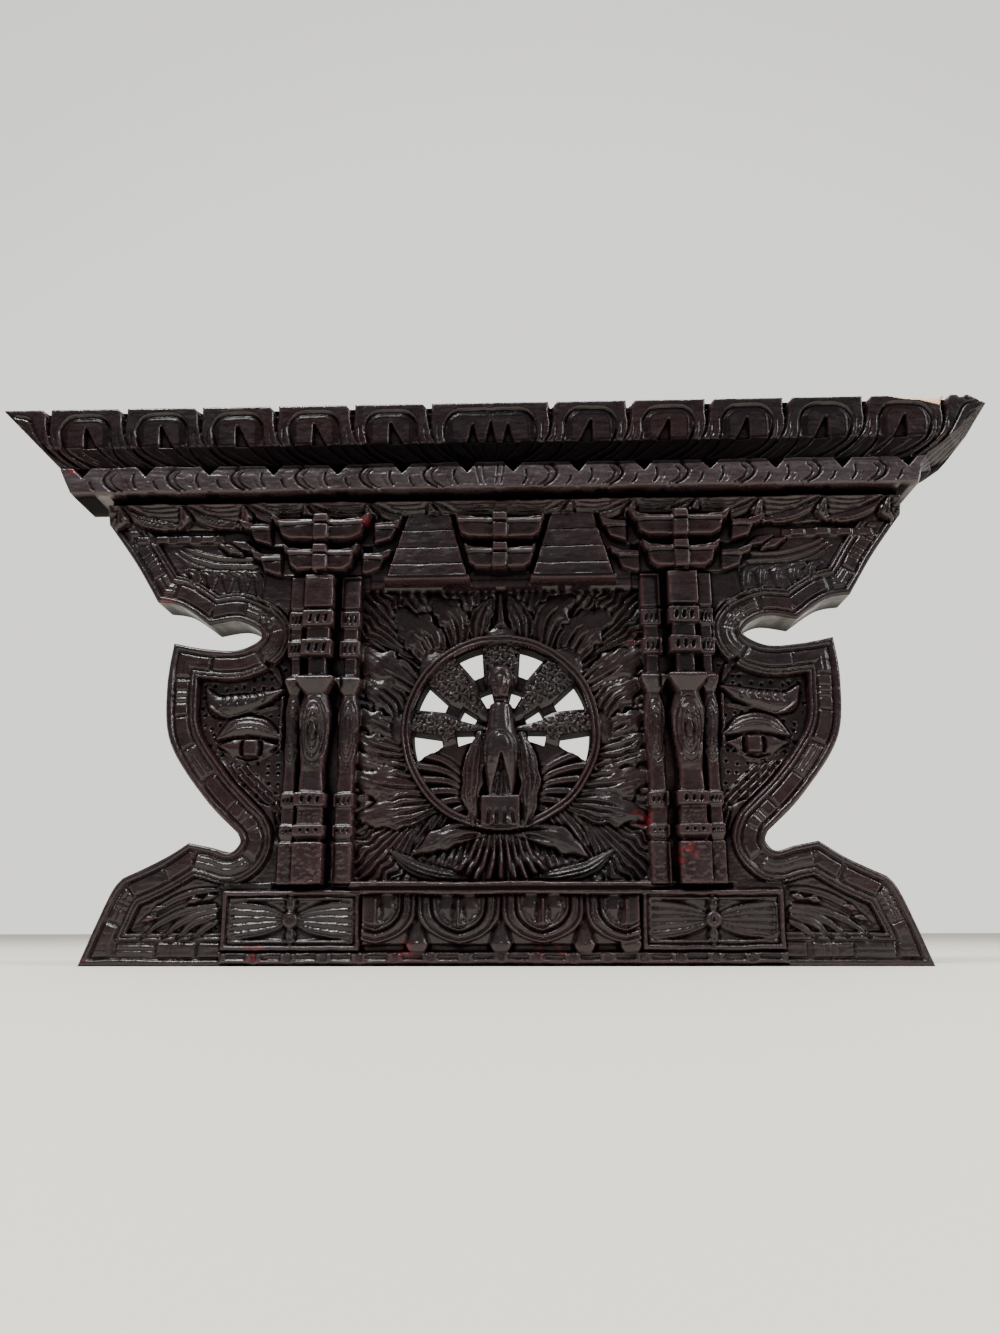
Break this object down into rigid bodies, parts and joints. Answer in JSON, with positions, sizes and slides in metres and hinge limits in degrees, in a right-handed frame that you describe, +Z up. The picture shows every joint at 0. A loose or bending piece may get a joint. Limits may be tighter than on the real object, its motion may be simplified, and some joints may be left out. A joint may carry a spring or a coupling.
{
  "type": "carved wall panel",
  "caption": "Dark lacquered carved wooden wall panel shaped like a window front, with a wide petalled cornice, curved wings, posts and a pierced roundel with a bird.",
  "frame": {"origin": "on the flat back, on the panel's centre line and 196 mm above its underside, where it meets the wall that it hangs on", "axes": "+X to the right as seen from the front, +Z up, +Y out of the back into the wall, so the carving faces -Y"},
  "size_m": [0.452, 0.0297, 0.249],
  "materials": {
    "carved_wood": "very dark red-brown stain under semi-gloss lacquer"
  },
  "bodies": {
    "root": {"carved_panel": "carved_wood"}
  },
  "joints": []
}
